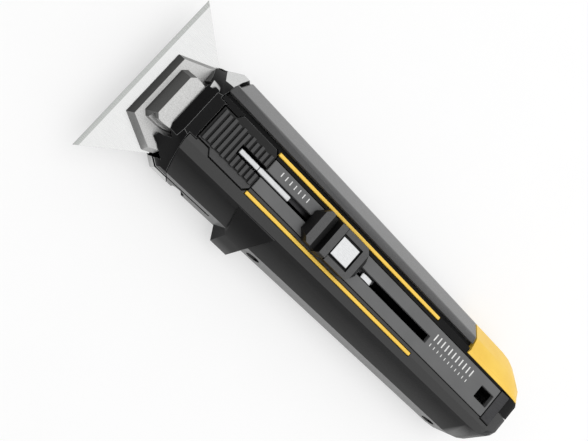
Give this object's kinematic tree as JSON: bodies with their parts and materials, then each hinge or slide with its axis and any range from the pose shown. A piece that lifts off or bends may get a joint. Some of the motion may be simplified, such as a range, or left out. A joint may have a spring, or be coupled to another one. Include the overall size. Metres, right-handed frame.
{
  "type": "scraper utility knife",
  "caption": "Scraper utility knife with a turning blade head, thumb slider on a track panel, rubber spine grip, finger guard and tail storage door.",
  "frame": {"origin": "centre of the bounding box on the floor, under the flat back of the handle", "axes": "+X from the cutting edge to the tail, +Y from the belly with the finger guard to the spine, +Z out of the track panel"},
  "size_m": [0.176, 0.061, 0.0325],
  "materials": {
    "shell": "fine grain black",
    "grip": "soft grey-black rubber",
    "panel": "smooth dark grey",
    "collar": "satin black",
    "accent": "warm yellow",
    "pad": "ribbed black",
    "cast": "grained silver casting",
    "steel": "brushed",
    "bright": "bright",
    "dark": "dark grey"
  },
  "bodies": {
    "handle": {"belly_shell": "shell", "spine_shell": "shell", "spine_grip": "grip", "nose_collar": "collar", "track_panel": "panel", "accent_strip_belly": "accent", "accent_strip_spine": "accent", "stop_bar": "bright", "lanyard_bar": "dark", "door_pin": "steel", "store_leaf": "steel", "body_screw_front": "steel", "body_screw_middle": "steel", "body_screw_rear": "steel", "spare_blade_1": "steel", "spare_blade_2": "steel", "spare_blade_3": "steel", "pad_spring_belly": "steel", "pad_spring_spine": "steel"},
    "carriage": {"slider_body": "pad", "sled": "dark", "drive_rod": "bright", "pivot_link": "steel", "detent_tab": "bright", "button_spring": "steel"},
    "button": {"lock_button": "bright"},
    "head": {"upper_jaw": "cast", "lower_jaw": "cast", "pivot_pin": "steel", "jaw_magnet": "dark", "jaw_stud_belly": "steel", "jaw_stud_spine": "steel"},
    "blade": {"blade": "steel"},
    "pad": {"release_pad": "pad"},
    "door": {"storage_door": "accent"}
  },
  "joints": [
    {"name": "slider_travel", "type": "slide", "parent": "handle", "child": "carriage", "axis": [-1, 0, 0], "range_m": [0, 0.014]},
    {"name": "head_turn", "type": "hinge", "parent": "carriage", "child": "head", "pos_m": [-0.075, 0, 0.019], "axis": [0, 0, 1], "range_deg": [0, 90]},
    {"name": "blade_release", "type": "slide", "parent": "head", "child": "blade", "axis": [-1, 0, 0], "range_m": [0, 0.02]},
    {"name": "lock_press", "type": "slide", "parent": "carriage", "child": "button", "axis": [0, 0, -1], "range_m": [0, 0.0008], "stiffness_N_per_m": 300, "deforming": ["button_spring"]},
    {"name": "pad_press", "type": "slide", "parent": "handle", "child": "pad", "axis": [0, 0, -1], "range_m": [0, 0.001], "stiffness_N_per_m": 500, "deforming": ["pad_spring_belly", "pad_spring_spine"]},
    {"name": "door_swing", "type": "hinge", "parent": "handle", "child": "door", "pos_m": [0.067, 0.0164, 0.0038], "axis": [-1, 0, 0], "range_deg": [0, 45]}
  ]
}
